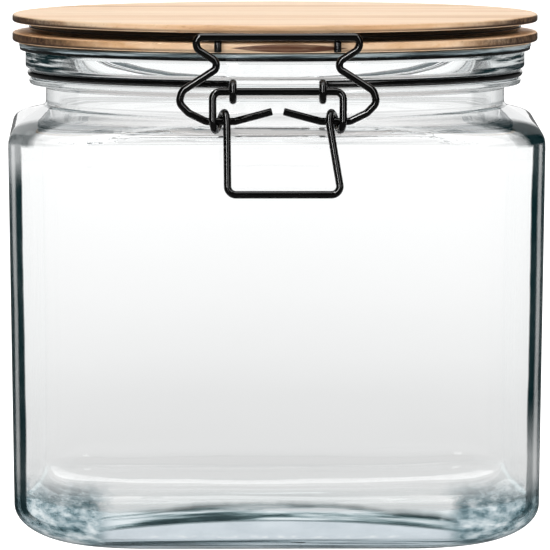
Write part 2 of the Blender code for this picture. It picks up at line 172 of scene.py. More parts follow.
# Turned outlines: (radius, z, fillet).
NECK_OUTLINE = [
    (NECK_R, NECK_FOOT_Z + 2.4, 0),
    (NECK_R, COLLAR_LOW_Z, 1.1),
    (COLLAR_R, COLLAR_LOW_Z, 0.8),
    (COLLAR_R, COLLAR_TOP_Z + 0.05, 0.8),
    (WIRE_SEAT_R, COLLAR_TOP_Z + 0.15, 0.4),
    (WIRE_SEAT_R, BEAD_LOW_Z, 0.4),
    (BEAD_R, BEAD_LOW_Z, 0.8),
    (BEAD_R, RIM_Z, 1.5),
    (BORE_R, RIM_Z, 1.4),
    (BORE_R, NECK_FOOT_Z, 0),
]
UPPER_EDGE = [
    (62.0, TOP_Z, 0), (LID_R, TOP_Z, 0.75), (LID_R, UPPER_LOW_Z, 0.6), (60.0, UPPER_LOW_Z, 0),
]
LOWER_OUTLINE = [
    (50.0, CORE_TOP_Z, 0),
    (CORE_R, CORE_TOP_Z, 0.2),
    (CORE_R, LOWER_TOP_Z, 0.35),
    (LID_R, LOWER_TOP_Z, 0.6),
    (LID_R, LOWER_LOW_Z, 0.7),
    (PLUG_R, LOWER_LOW_Z, 0.4),
    (PLUG_R, PLUG_LOW_Z, 0.4),
    (40.0, PLUG_LOW_Z, 0),
]
SEAL_OUTLINE = [
    (60.0, seal_high.z, 0),
    (SEAL_R, seal_high.z, 0.3),
    (SEAL_R, LIP_TOP_Z + 0.1, 0.1),
    (LIP_R, LIP_TOP_Z, 0.05),
    (LIP_R, LIP_LOW_Z, 0.3),
    (LIP_IN_R, LIP_LOW_Z, 0.2),
    (LIP_IN_R, seal_low.z, 0.3),
    (SEAL_IN_R, seal_low.z, 0.25),
    (SEAL_IN_R, seal_high.z, 0.25),
    (60.0, seal_high.z, 0),
]


# ------------------------------------------------------------------ mesh tools
def link(name, data):
    made = bpy.data.objects.new(name, data)
    bpy.context.scene.collection.objects.link(made)
    return made


def finish_mesh(name, verts, faces, material, sharp=None):
    """A piece from points in millimetres, with its normals facing out."""
    mesh = bpy.data.meshes.new(name)
    mesh.from_pydata([tuple(value * MM for value in vert) for vert in verts], [], faces)
    bm = bmesh.new()
    bm.from_mesh(mesh)
    bmesh.ops.recalc_face_normals(bm, faces=bm.faces[:])
    bm.to_mesh(mesh)
    bm.free()
    mesh.materials.append(material)
    mesh.shade_smooth()
    if sharp:
        mesh.set_sharp_from_angle(angle=math.radians(sharp))
    return link(name, mesh)


def rounded_square(half, corner, count):
    """A closed section; a corner radius equal to the half width is a circle."""
    weight = 0.55  # straights get fewer points for their length than corners
    flat = half - corner
    arc = corner * math.pi / 2
    total = 2 * weight * flat + arc
    quarter = count // 4
    points = []
    for turn in range(4):
        cosine, sine = math.cos(turn * math.pi / 2), math.sin(turn * math.pi / 2)
        for k in range(quarter):
            along = total * k / quarter
            if along < weight * flat:
                x, y = half, along / weight
            elif along <= weight * flat + arc:
                angle = (along - weight * flat) / corner
                x, y = flat + corner * math.cos(angle), flat + corner * math.sin(angle)
            else:
                x, y = (total - along) / weight, half
            points.append((cosine * x - sine * y, sine * x + cosine * y))
    return points


def smooth_curve(places, values, wanted):
    """A monotone cubic through (place, value), read at the wanted places."""
    places, values = np.array(places, float), np.array(values, float)
    gaps = np.diff(places)
    slopes = np.diff(values) / gaps
    tangents = np.zeros(len(places))
    tangents[0], tangents[-1] = slopes[0], slopes[-1]
    for i in range(1, len(places) - 1):
        if slopes[i - 1] * slopes[i] > 0:
            before = 2 * gaps[i] + gaps[i - 1]
            after = gaps[i] + 2 * gaps[i - 1]
            tangents[i] = (before + after) / (before / slopes[i - 1] + after / slopes[i])
    curve = []
    for place in wanted:
        i = int(np.clip(np.searchsorted(places, place) - 1, 0, len(gaps) - 1))
        t = (place - places[i]) / gaps[i]
        curve.append(
            (2 * t**3 - 3 * t**2 + 1) * values[i]
            + (t**3 - 2 * t**2 + t) * gaps[i] * tangents[i]
            + (-2 * t**3 + 3 * t**2) * values[i + 1]
            + (t**3 - t**2) * gaps[i] * tangents[i + 1]
        )
    return curve


def filleted(corners, step=9.0):
    """A turned outline with its corners rounded in steps of so many degrees."""
    outline = [corners[0][:2]]
    for before, corner, after in zip(corners, corners[1:], corners[2:]):
        start, here, end = (np.array(c[:2], float) for c in (before, corner, after))
        radius = corner[2]
        if radius <= 0:
            outline.append(tuple(here))
            continue
        back = (start - here) / np.linalg.norm(start - here)
        ahead = (end - here) / np.linalg.norm(end - here)
        half = math.acos(float(np.clip(back @ ahead, -1, 1))) / 2
        middle = back + ahead
        centre = here + middle / np.linalg.norm(middle) * radius / math.sin(half)
        first = here + back * radius / math.tan(half) - centre
        last = here + ahead * radius / math.tan(half) - centre
        sweep = math.acos(float(np.clip(first @ last / radius**2, -1, 1)))
        count = max(3, int(round(math.degrees(sweep) / step)))
        for k in range(count + 1):
            t = k / count
            spoke = (
                first * math.sin((1 - t) * sweep) + last * math.sin(t * sweep)
            ) / math.sin(sweep)
            outline.append(tuple(centre + spoke))
    outline.append(corners[-1][:2])
    return outline


def spun(name, profile, material, closed=False, count=256):
    """A turned piece from a profile of (radius, z), closed or on the axis."""
    verts, faces, rings = [], [], []
    for radius, z in profile:
        if radius < 1e-6:
            rings.append([len(verts)])
            verts.append((0.0, 0.0, z))
            continue
        rings.append(list(range(len(verts), len(verts) + count)))
        for k in range(count):
            angle = 2 * math.pi * k / count
            verts.append((radius * math.cos(angle), radius * math.sin(angle), z))
    pairs = list(zip(rings, rings[1:]))
    if closed:
        pairs.append((rings[-1], rings[0]))
    for low, high in pairs:
        for k in range(count):
            after = (k + 1) % count
            if len(low) == 1:
                faces.append((low[0], high[k], high[after]))
            elif len(high) == 1:
                faces.append((low[after], low[k], high[0]))
            else:
                faces.append((low[k], low[after], high[after], high[k]))
    return finish_mesh(name, verts, faces, material, sharp=50.0)


# ------------------------------------------------------------------ wire tools
def vec(x, y, z):
    return Vector((x, y, z))


def coil(x_start, x_end, y, z, start, end, step=6.0):
    """A turn of eye radius about an X axis at (y, z), between angles in degrees,
    drifting from x_start to x_end."""
    count = max(2, int(round(abs(end - start) / step)))
    points = []
    for k in range(count + 1):
        t = k / count
        angle = math.radians(start + (end - start) * t)
        ease = t * t * (3 - 2 * t)
        x = x_start + (x_end - x_start) * (0.35 * t + 0.65 * ease)
        points.append(vec(x, y + EYE_R * math.cos(angle), z + EYE_R * math.sin(angle)))
    return points


def tangent_angle(from_y, from_z, y, z, side):
    """Where a straight from (from_y, from_z) touches the eye round (y, z)."""
    dy, dz = from_y - y, from_z - z
    return math.degrees(math.atan2(dz, dy) + side * math.acos(EYE_R / math.hypot(dy, dz)))


def ring_half(radius, z, front_x, rear_x, front_leg_x, rear_leg_x, step=2.0):
    """Corners of the left half of a level ring, front to back. The wire leaves the
    circle along its tangent at front_x and rear_x, and bends at the leg places."""

    def angle_at(x, side):
        return math.degrees(math.atan2(side * math.sqrt(radius**2 - x**2), x))

    def slope_at(x):
        return x / math.sqrt(radius**2 - x**2)

    start, end = angle_at(-front_x, -1), angle_at(-rear_x, 1) - 360.0
    count = max(2, int(round(abs(end - start) / step)))
    ring = []
    for k in range(count + 1):
        angle = math.radians(start + (end - start) * k / count)
        ring.append(vec(radius * math.cos(angle), radius * math.sin(angle), z))
    front_y = ring[0].y - (front_x - front_leg_x) * slope_at(front_x)
    rear_y = ring[-1].y + (rear_x - rear_leg_x) * slope_at(rear_x)
    return [
        (vec(-front_leg_x, front_y, z), BEND),
        *keep(ring),
        (vec(-rear_leg_x, rear_y, z), BEND),
    ]


def bent(corners, step=7.0):
    """A centreline from [(point, bend radius)]; radius 0 keeps the point."""
    points = [corners[0][0]]
    for (before, _), (here, radius), (after, _) in zip(corners, corners[1:], corners[2:]):
        if radius <= 0:
            points.append(here)
            continue
        back, ahead = (before - here).normalized(), (after - here).normalized()
        half = back.angle(ahead) / 2
        centre = here + (back + ahead).normalized() * (radius / math.sin(half))
        first = here + back * (radius / math.tan(half)) - centre
        last = here + ahead * (radius / math.tan(half)) - centre
        sweep = first.angle(last)
        count = max(2, int(round(math.degrees(sweep) / step)))
        for k in range(count + 1):
            t = k / count
            points.append(
                centre
                + first * (math.sin((1 - t) * sweep) / math.sin(sweep))
                + last * (math.sin(t * sweep) / math.sin(sweep))
            )
    points.append(corners[-1][0])
    return points


def keep(points):
    return [(point, 0.0) for point in points]


def with_mirror(half):
    """A left half that ends in the middle, carried on to the right."""
    return half + [vec(-p.x, p.y, p.z) for p in reversed(half)][1:]


def even(points, cyclic, longest=2.2, shortest=0.06):
    """Drops doubled points and splits long straights."""
    clean = [points[0]]
    for point in points[1:]:
        if (point - clean[-1]).length > shortest:
            clean.append(point)
    if cyclic and (clean[-1] - clean[0]).length <= shortest:
        clean.pop()
    path = []
    ends = clean[1:] + ([clean[0]] if cyclic else [])
    for start, end in zip(clean, ends):
        count = max(1, int(math.ceil((end - start).length / longest)))
        path += [start.lerp(end, k / count) for k in range(count)]
    if not cyclic:
        path.append(clean[-1])
    return path


def tube_rings(path, cyclic, chamfer=0.17):
    """(centre, tangent, side, radius, twist) for each ring of an untwisted tube."""
    count = len(path)
    tangents = []
    for i in range(count):
        before = path[i - 1] if (cyclic or i) else path[0]
        after = path[(i + 1) % count] if (cyclic or i < count - 1) else path[-1]
        tangents.append((after - before).normalized())
    side = tangents[0].orthogonal().normalized()
    sides = [side]
    for i in range(1, count):
        side = tangents[i - 1].rotation_difference(tangents[i]) @ side
        side = (side - tangents[i] * side.dot(tangents[i])).normalized()
        sides.append(side)
    twist = 0.0
    if cyclic:
        # spread the mismatch where the loop closes along its whole length
        back = tangents[-1].rotation_difference(tangents[0]) @ side
        up = tangents[0].cross(sides[0])
        twist = -math.atan2(back.dot(up), back.dot(sides[0]))
    rings = [
        (path[i], tangents[i], sides[i], WIRE_R, twist * i / count) for i in range(count)
    ]
    if not cyclic:
        first, last = rings[0], rings[-1]
        rings[0] = (first[0] + first[1] * chamfer, *first[1:])
        rings[-1] = (last[0] - last[1] * chamfer, *last[1:])
        rings.insert(0, (*first[:3], WIRE_R - chamfer, first[4]))
        rings.append((*last[:3], WIRE_R - chamfer, last[4]))
    return rings


def tube(name, points, cyclic=False, sides=22):
    """A round wire along the points, its cut ends chamfered."""
    rings = tube_rings(even(points, cyclic), cyclic)
    verts, faces = [], []
    for centre, tangent, side, radius, twist in rings:
        up = tangent.cross(side)
        for k in range(sides):
            angle = 2 * math.pi * k / sides + twist
            spoke = side * math.cos(angle) + up * math.sin(angle)
            verts.append(tuple(centre + spoke * radius))
    count = len(rings)
    for i in range(count if cyclic else count - 1):
        here, there = i * sides, (i + 1) % count * sides
        for k in range(sides):
            after = (k + 1) % sides
            faces.append((here + k, here + after, there + after, there + k))
    if not cyclic:
        faces.append(tuple(reversed(range(sides))))
        faces.append(tuple(range((count - 1) * sides, count * sides)))
    return finish_mesh(name, verts, faces, ENAMEL, sharp=40.0)


# ----------------------------------------------------------------- node tools
WHITE = (1.0, 1.0, 1.0)


def rgba(colour):
    """An opaque colour from red, green and blue, or from a grey level."""
    return (*colour, 1.0) if isinstance(colour, tuple) else (colour, colour, colour, 1.0)


class Nodes:
    """Short-hand for building one node tree."""

    def __init__(self, tree):
        self.tree = tree
        tree.nodes.clear()

    def add(self, kind, inputs=None, **settings):
        """A node; its inputs are sockets, nodes (their first output) or values."""
        node = self.tree.nodes.new("ShaderNode" + kind)
        for key, value in settings.items():
            setattr(node, key, value)
        for key, value in (inputs or {}).items():
            socket = node.inputs[key]
            if isinstance(value, bpy.types.Node):
                value = value.outputs[0]
            if isinstance(value, bpy.types.NodeSocket):
                self.tree.links.new(value, socket)
            else:
                socket.default_value = rgba(value) if socket.type == "RGBA" else value
        return node

    def coords(self, output="Object", **settings):
        return self.add("TexCoord", **settings).outputs[output]

    def split(self, vector):
        return self.add("SeparateXYZ", {0: vector}).outputs

    def vector(self, operation, *values):
        return self.add("VectorMath", dict(enumerate(values)), operation=operation)

    def math(self, operation, *values):
        return self.add("Math", dict(enumerate(values)), operation=operation).outputs[0]

    def plus(self, first, second):
        return self.math("ADD", first, second)

    def minus(self, first, second):
        return self.math("SUBTRACT", first, second)

    def times(self, product, *others):
        for other in others:
            product = self.math("MULTIPLY", product, other)
        return product

    def larger(self, first, second):
        return self.math("MAXIMUM", first, second)

    def size(self, value):
        return self.math("ABSOLUTE", value)

    def length(self, first, second):
        return self.math("SQRT", self.plus(self.times(first, first), self.times(second, second)))

    def stray(self, pattern, amount, middle=0.5):
        """A pattern centred on zero and scaled."""
        return self.times(self.minus(pattern, middle), amount)

    def strayed(self, value, pattern, amount, middle=0.5):
        return self.plus(value, self.stray(pattern, amount, middle))

    def noise(self, vector, scale, detail=2.0, roughness=0.5):
        """Noise at one scale, or stretched by a scale for each axis."""
        if isinstance(scale, tuple):
            vector = self.add("Mapping", {"Vector": vector, "Scale": scale})
            scale = 1.0
        inputs = {"Vector": vector, "Scale": scale, "Detail": detail, "Roughness": roughness}
        return self.add("TexNoise", inputs).outputs[0]

    def mix(self, factor, first, second):
        inputs = {0: factor, 6: first, 7: second}
        return self.add("Mix", inputs, data_type="RGBA").outputs[2]

    def mix_shader(self, factor, first, second):
        return self.add("MixShader", {0: factor, 1: first, 2: second})

    def ramp(self, value, stops):
        """Colour stops: [(position, colour or grey level)]."""
        node = self.add("ValToRGB", {0: value})
        elements = node.color_ramp.elements
        while len(elements) > 1:
            elements.remove(elements[-1])
        elements[0].position, elements[0].color = stops[0][0], rgba(stops[0][1])
        for position, colour in stops[1:]:
            elements.new(position).color = rgba(colour)
        return node.outputs[0]

    def remap(self, value, between, give=(0.0, 1.0), smooth=False):
        return self.add(
            "MapRange",
            dict(enumerate((value, *between, *give))),
            interpolation_type="SMOOTHSTEP" if smooth else "LINEAR",
        ).outputs[0]


def new_material(name):
    made = bpy.data.materials.new(name)
    made.use_nodes = True
    return made, Nodes(made.node_tree)


# ---------------------------------------------------------------------- glass
def painted_edge_shade(n, at):
    """Painted shade near the glass's outline, from 0 to 1."""
    facing = n.add("LayerWeight", {"Blend": 0.5}).outputs["Facing"]
    patches = n.noise(at.coords, (9.0, 9.0, 17.0))

    # painted shade on the outline of the body: two dark lines with a paler one between
    lines = n.ramp(
        n.strayed(facing, at.uneven, amount=0.08),
        [
            (0.0, 0.0), (0.475, 0.0), (0.505, 1.0), (0.60, 1.0), (0.65, 0.42),
            (0.72, 0.42), (0.77, 0.95), (0.90, 0.85), (1.0, 0.3),
        ],
    )
    by_height = n.larger(
        n.remap(at.z, between=(0.1135, 0.1095), give=(0.15, 1.0)),
        n.remap(at.z, between=(0.119, 0.122), give=(0.15, 0.6)),
    )
    normal_z = n.split(n.add("NewGeometry").outputs["Normal"])[2]
    upright = n.remap(n.size(normal_z), between=(0.28, 0.72), give=(1.0, 0.04))
    patchy = n.times(
        n.remap(at.uneven, between=(0.35, 0.55), give=(0.86, 1.0)),
        n.remap(patches, between=(0.60, 0.52), give=(0.42, 1.0)),
    )
    # only the rounded corners turn away like this, never the flat sides
    corners = n.larger(
        n.remap(at.along, between=(0.0440, 0.0475)), n.remap(at.z, between=(0.1135, 0.1160))
    )
    below_bead = n.remap(at.z, between=(0.1236, 0.1246), give=(1.0, 0.25))
    outline = n.times(lines, by_height, upright, patchy, corners, below_bead)

    # painted shade on the thick bead at the mouth: short dark dashes towards its sides
    dashes = n.noise(at.coords, (45.0, 45.0, 900.0), detail=3.0, roughness=0.6)
    bead = n.times(
        n.remap(n.strayed(facing, dashes, amount=0.30), between=(0.36, 0.44)),
        n.remap(at.z, between=(0.1236, 0.1248)),
        n.remap(dashes, between=(0.56, 0.42), give=(0.12, 0.97)),
    )

    # painted shade on the shoulder, where it turns away to the left and right
    geometry = n.add("NewGeometry").outputs
    level_normal, level_view = (
        n.vector("NORMALIZE", n.vector("MULTIPLY", geometry[name], (1.0, 1.0, 0.0)))
        for name in ("Normal", "Incoming")
    )
    towards = n.vector("DOT_PRODUCT", level_normal, level_view).outputs["Value"]
    turned = n.strayed(n.minus(1.0, n.size(towards)), at.uneven, amount=0.5)
    view_z = n.split(geometry["Incoming"])[2]
    shoulder = n.times(
        n.remap(turned, between=(0.27, 0.42), give=(0.0, 0.97)),
        n.remap(at.z, between=(0.1064, 0.1074)),
        n.remap(at.z, between=(0.1142, 0.1118)),
        n.remap(patches, between=(0.66, 0.54), give=(0.45, 1.0)),
        n.remap(n.size(view_z), between=(0.08, 0.20), give=(1.0, 0.12)),
        n.remap(at.along, between=(0.034, 0.042)),
    )
    return n.larger(n.larger(outline, bead), shoulder)


def painted_heel_light(n, at):
    """Painted light and shade on the thick heel from the side: a pale crescent under
    a band of dark streaks, mottled corners, and thin dark lines where it stands."""
    outward = n.larger(n.size(at.x), n.size(at.y))
    # height above an arch that comes down towards the corners
    share = n.math("DIVIDE", at.along, 0.042)
    above = n.plus(n.minus(at.z, 0.0094), n.times(share, share, 0.0024))
    arched = n.add("CombineXYZ", {0: at.x, 1: at.y, 2: above})
    streaks = n.noise(arched, (24.0, 24.0, 520.0), detail=4.0, roughness=0.6)
    mottle = n.noise(at.coords, (95.0, 95.0, 170.0), detail=5.0, roughness=0.7)
    waves = n.noise(at.coords, (40.0, 40.0, 8.0), detail=3.0, roughness=0.6)
    wander = n.strayed(above, waves, amount=0.004)

    crescent = n.mix(
        n.remap(mottle, between=(0.35, 0.65)), (0.66, 0.70, 0.74), (0.79, 0.82, 0.86)
    )
    dark_band = n.ramp(streaks, [
        (0.40, (0.035, 0.060, 0.065)), (0.47, (0.14, 0.20, 0.21)),
        (0.53, (0.42, 0.50, 0.52)), (0.60, (0.88, 0.91, 0.93)),
    ])
    in_band = n.times(
        n.remap(above, between=(-0.0001, 0.0002)), n.remap(wander, between=(0.0052, 0.0032))
    )
    upper = n.mix(n.remap(wander, between=(0.0038, 0.0085)), (0.86, 0.89, 0.90), WHITE)
    tone = n.mix(n.remap(above, between=(0.0, 0.0003)), crescent, upper)
    tone = n.mix(in_band, tone, dark_band)
    arch_line = n.remap(n.size(above), between=(0.00012, 0.0003), give=(0.75, 0.0))
    tone = n.mix(arch_line, tone, (0.22, 0.27, 0.29))

    foot = n.ramp(n.noise(at.coords, (20.0, 20.0, 1500.0)), [
        (0.42, (0.06, 0.09, 0.10)), (0.50, (0.22, 0.28, 0.31)), (0.57, (0.58, 0.64, 0.68)),
    ])
    tone = n.mix(n.remap(at.z, between=(0.0042, 0.0036)), tone, foot)
    # painted highlights: a row of small white spots just above the foot
    specks = n.noise(at.coords, (420.0, 420.0, 10.0), detail=1.0, roughness=0.6)
    dot_highlights = n.times(
        n.remap(n.size(n.minus(at.z, 0.0048)), between=(0.0002, 0.0004), give=(1.0, 0.0)),
        n.remap(specks, between=(0.52, 0.60)),
        n.remap(at.along, between=(0.036, 0.030)),
    )
    tone = n.mix(dot_highlights, tone, WHITE)

    corner = n.ramp(mottle, [
        (0.38, (0.06, 0.12, 0.14)), (0.46, (0.22, 0.31, 0.34)),
        (0.53, (0.50, 0.58, 0.61)), (0.62, (0.92, 0.94, 0.95)),
    ])
    clearing = n.remap(n.strayed(at.z, at.uneven, amount=0.008), between=(0.013, 0.021))
    corner = n.mix(clearing, corner, WHITE)
    in_corner = n.remap(n.strayed(at.along, mottle, amount=0.02), between=(0.043, 0.047))
    tone = n.mix(in_corner, tone, corner)
    at_heel = n.times(
        n.remap(at.z, between=(0.022, 0.018)), n.remap(outward, between=(0.042, 0.046))
    )
    return n.mix(at_heel, WHITE, tone)


def glass_material():
    """Clear soda-lime glass. Near its outline it is painted dark blue-green, unevenly:
    painted shade for light that has come a long way through the wall."""
    made, n = new_material("clear_soda_glass")
    coords = n.coords()
    # faint waviness, fine and slow
    fine = n.noise(coords, 55.0, roughness=0.45)
    ripple = n.noise(coords, (16.0, 16.0, 4.0), detail=1.0)
    height = n.plus(n.times(fine, 0.25), ripple)
    bump = n.add("Bump", {"Height": height, "Strength": 0.12, "Distance": 0.0010})
    smudge = n.noise(coords, 22.0, detail=4.0)
    rough = n.remap(smudge, between=(0.42, 0.75), give=(0.0, 0.03))

    x, y, z = n.split(coords)
    at = SimpleNamespace(coords=coords, x=x, y=y, z=z)
    at.uneven = n.noise(coords, (60.0, 60.0, 26.0), detail=3.0, roughness=0.6)
    # distance along a side from its middle
    at.along = n.math("MINIMUM", n.size(x), n.size(y))
    # painted shade near the outline, tinting camera rays
    edge_shade = painted_edge_shade(n, at)
    # the heel's painted light and shade join the tint here
    tone = n.vector("MULTIPLY", n.mix(edge_shade, WHITE, (0.010, 0.045, 0.052)), painted_heel_light(n, at))

    # the tint acts on the way in only, as the square of what is passed
    path = n.add("LightPath").outputs
    tone = n.vector("MULTIPLY", tone, tone)
    glass = n.add("BsdfPrincipled", {
        "Base Color": n.mix(path["Is Camera Ray"], WHITE, tone),
        "Roughness": rough,
        "IOR": 1.5,
        "Transmission Weight": 1.0,
        "Normal": bump,
    })
    # painted glow: a faint blue-green emission where the outline is painted dark
    deep = n.add("Emission", {"Color": (0.15, 0.85, 1.0), "Strength": 0.016})
    edge_shade_weight = n.times(edge_shade, 0.86, path["Is Camera Ray"])
    glass = n.mix_shader(edge_shade_weight, glass, deep)
    passed = n.add("BsdfTransparent", {"Color": (0.965, 0.968, 0.972)})
    unseen = n.larger(path["Is Shadow Ray"], path["Is Diffuse Ray"])
    # light trapped between the faces leaks out again after two reflections
    trapped = n.math("GREATER_THAN", path["Glossy Depth"], 1.5)
    too_deep = n.math("GREATER_THAN", path["Ray Depth"], 8.5)
    escapes = n.larger(unseen, n.larger(trapped, too_deep))
    tint = n.add("VolumeAbsorption", {"Color": (0.25, 0.60, 0.60), "Density": 4.0})
    n.add("OutputMaterial", {"Surface": n.mix_shader(escapes, glass, passed), "Volume": tint})
    return made


# ----------------------------------------------------------------------- wood
def front_dark_streak(n, coords, tone, fibre, x_span, z_span):
    """Mask of one dark streak along the front of the rim."""
    x, y, z = n.split(coords)
    mid_x, half_x = sum(x_span) / 2, (x_span[1] - x_span[0]) / 2
    mid_z, half_z = sum(z_span) / 2, (z_span[1] - z_span[0]) / 2
    along = n.math("DIVIDE", n.size(n.minus(x, mid_x)), half_x)
    narrow = n.times(n.minus(1.0, n.math("POWER", along, 2.0)), half_z)
    off = n.size(n.minus(n.strayed(z, tone, amount=0.002), mid_z))
    return n.times(
        n.remap(n.minus(narrow, off), between=(-0.0001, 0.0002), smooth=True),
        n.remap(y, between=(-0.060, -0.066)),
        n.remap(fibre, between=(0.3, 0.6), give=(0.72, 1.0)),
    )


def wood_material(name, low_z, shift, light, mid, dark, streak=None):
    """Straight-grained wood with its fibres along X: slow tone changes, growth
    rings cut by the board, short dark pores, and painted shade on the rim and in the groove."""
    made, n = new_material(name)
    coords = n.coords()
    moved = n.add("Mapping", {"Vector": coords, "Location": shift})

    # growth rings about an axis along X below the board
    warp = n.noise(moved, (7.0, 22.0, 22.0), detail=3.0)
    _, across, up = n.split(moved)
    radius = n.length(n.strayed(across, warp, amount=0.030), n.plus(up, 0.05))
    rings_per_metre = 210.0
    late = n.ramp(
        n.math("FRACT", n.times(radius, rings_per_metre)),
        [(0.0, 0.05), (0.55, 0.25), (0.86, 1.0), (0.97, 0.15), (1.0, 0.05)],
    )
    tone = n.noise(moved, (5.0, 60.0, 60.0), detail=4.0, roughness=0.55)
    fibre = n.noise(moved, (22.0, 900.0, 900.0), detail=3.0, roughness=0.6)
    pore = n.noise(moved, (60.0, 1700.0, 1700.0), detail=1.0)
    pores = n.remap(pore, between=(0.66, 0.74))
    broad = n.noise(moved, (2.4, 31.0, 31.0), detail=3.0, roughness=0.6)
    level = n.plus(n.times(late, 0.20), n.times(tone, 0.55))
    level = n.strayed(level, broad, amount=1.25, middle=0.44)
    level = n.strayed(level, fibre, amount=0.55)
    colour = n.ramp(level, [(0.26, light), (0.52, mid), (0.84, dark)])
    pore_colour = (dark[0] * 0.6, dark[1] * 0.5, dark[2] * 0.45)
    colour = n.mix(n.times(pores, 0.45), colour, pore_colour)

    # painted shade: darker and warmer round the rim, unevenly
    facet_x, _, facet_z = n.split(n.coords("Normal"))
    uneven = n.stray(broad, amount=0.35)
    rim_shade = n.times(
        n.remap(n.size(facet_z), between=(0.80, 0.45)),
        n.remap(n.plus(tone, uneven), between=(0.40, 0.66), give=(0.15, 0.95)),
    )
    colour = n.mix(rim_shade, colour, (0.50, 0.27, 0.115))
    # end grain, darker, deepened by painted shade at both ends of the board
    end_grain_shade = n.times(
        n.remap(n.plus(n.size(facet_x), uneven), between=(0.62, 0.88)),
        n.remap(fibre, between=(0.35, 0.6), give=(0.75, 0.98)),
    )
    colour = n.mix(end_grain_shade, colour, (0.022, 0.009, 0.004))
    # painted shadow along the low edge of the rim, most of all towards the ends
    spot_x, _, spot_z = n.split(coords)
    low_edge_shadow = n.times(
        n.remap(
            n.plus(spot_z, n.times(uneven, 0.0016)),
            between=((low_z + 1.0) * MM, (low_z + 0.5) * MM),
        ),
        n.remap(n.size(spot_x), between=(0.012, 0.050), give=(0.35, 0.96)),
        n.remap(n.size(facet_z), between=(0.90, 0.60)),
    )
    colour = n.mix(low_edge_shadow, colour, (0.030, 0.012, 0.005))
    # a dark streak along the front of the lower board's rim
    if streak:
        mask = front_dark_streak(n, coords, tone, fibre, **streak)
        colour = n.mix(mask, colour, (0.075, 0.020, 0.004))
    # painted shade in the deep groove between the boards
    x, y, z = n.split(coords)
    groove_shade = n.times(
        n.remap(n.size(n.minus(z, GROOVE_Z * MM)), between=(0.0014, 0.0012)),
        n.remap(n.length(x, y), between=(0.0692, 0.0680), give=(0.0, 0.94)),
    )
    colour = n.mix(groove_shade, colour, (0.012, 0.005, 0.003))
    # painted pale where it is only seen by way of the glass
    by_glass = n.math("GREATER_THAN", n.add("LightPath").outputs["Transmission Depth"], 0.5)
    colour = n.mix(n.times(by_glass, 0.8), colour, (0.93, 0.93, 0.95))

    relief = n.plus(n.times(late, -0.35), n.plus(n.times(fibre, 0.6), n.times(pores, -0.8)))
    body = n.add("BsdfPrincipled", {
        "Base Color": colour,
        "Roughness": n.remap(level, between=(0.2, 0.9), give=(0.40, 0.56)),
        "Specular IOR Level": 0.42,
        "Normal": n.add("Bump", {"Height": relief, "Strength": 0.35, "Distance": 0.00012}),
    })
    n.add("OutputMaterial", {"Surface": body})
    return made


# ------------------------------------------------------------ wire and silicone
def wire_material():
    """Wire under gloss black enamel, with a faint unevenness."""
    made, n = new_material("gloss_black_enamel")
    coords = n.coords()
    peel = n.noise(coords, 700.0)
    patch = n.noise(coords, 140.0, detail=3.0)
    body = n.add("BsdfPrincipled", {
        "Base Color": n.mix(patch, (0.0008, 0.0008, 0.0009), (0.0035, 0.0033, 0.0031)),
        "Roughness": n.remap(patch, between=(0.3, 0.7), give=(0.08, 0.16)),
        "Specular IOR Level": 0.36,
        "Normal": n.add("Bump", {"Height": peel, "Strength": 0.05, "Distance": 0.0001}),
    })
    n.add("OutputMaterial", {"Surface": body})
    return made


def silicone_material():
    """Blue-grey silicone, dashed round its edge, with painted shadow making its lower lip black.
    """
    made, n = new_material("grey_silicone")
    coords = n.coords()
    mottle = n.noise(coords, 60.0, detail=3.0)
    dust = n.noise(coords, 1400.0, detail=1.0)
    dashes = n.noise(coords, (40.0, 40.0, 1300.0), detail=3.0, roughness=0.6)
    dashed = n.ramp(dashes, [
        (0.38, (0.015, 0.024, 0.027)), (0.50, (0.10, 0.135, 0.15)), (0.62, (0.34, 0.41, 0.44)),
    ])
    x, y, z = n.split(coords)
    reach = n.length(x, y)
    plain = n.mix(mottle, (0.15, 0.19, 0.205), (0.22, 0.27, 0.29))
    pale = n.mix(n.remap(reach, between=(0.0662, 0.0674)), plain, dashed)
    speck = n.noise(coords, 420.0, detail=1.0)
    lip_top = LIP_TOP_Z * MM
    # painted shadow: the lower lip is made black
    lip = n.times(
        n.remap(
            n.strayed(z, speck, amount=0.0006), between=(lip_top + 0.0001, lip_top - 0.0001)
        ),
        n.remap(reach, between=(0.0664, 0.0668)),
    )
    body = n.add("BsdfPrincipled", {
        "Base Color": n.mix(lip, pale, (0.002, 0.003, 0.003)),
        "Roughness": n.remap(mottle, between=(0.3, 0.7), give=(0.24, 0.36)),
        "IOR": 1.41,
        "Normal": n.add("Bump", {"Height": dust, "Strength": 0.12, "Distance": 0.0001}),
    })
    n.add("OutputMaterial", {"Surface": body})
    return made


GLASS = glass_material()
WOOD_UPPER = wood_material(
    "light_wood_upper",
    low_z=UPPER_LOW_Z,
    shift=(0.013, 0.021, 0.0),
    light=(0.84, 0.63, 0.43),
    mid=(0.78, 0.53, 0.33),
    dark=(0.50, 0.28, 0.13),
)
WOOD_LOWER = wood_material(
    "light_wood_lower",
    low_z=LOWER_LOW_Z,
    shift=(0.171, -0.008, 0.03),
    light=(0.84, 0.61, 0.41),
    mid=(0.72, 0.46, 0.26),
    dark=(0.40, 0.20, 0.08),
    streak={"x_span": (-0.0125, 0.0185), "z_span": (0.1318, 0.1341)},
)
ENAMEL = wire_material()
SILICONE = silicone_material()


# --------------------------------------------------------------- glass piece
def narrowed(table, wanted, half_from, corner_from, radius):
    """(place, half, corner) from a rounded square to a circle of the radius."""
    places, inward, rounding = zip(*table)
    shares = zip(
        wanted, smooth_curve(places, inward, wanted), smooth_curve(places, rounding, wanted)
    )
    for place, share_in, share_round in shares:
        half = half_from - (half_from - radius) * share_in
        yield place, half, corner_from + (half - corner_from) * share_round


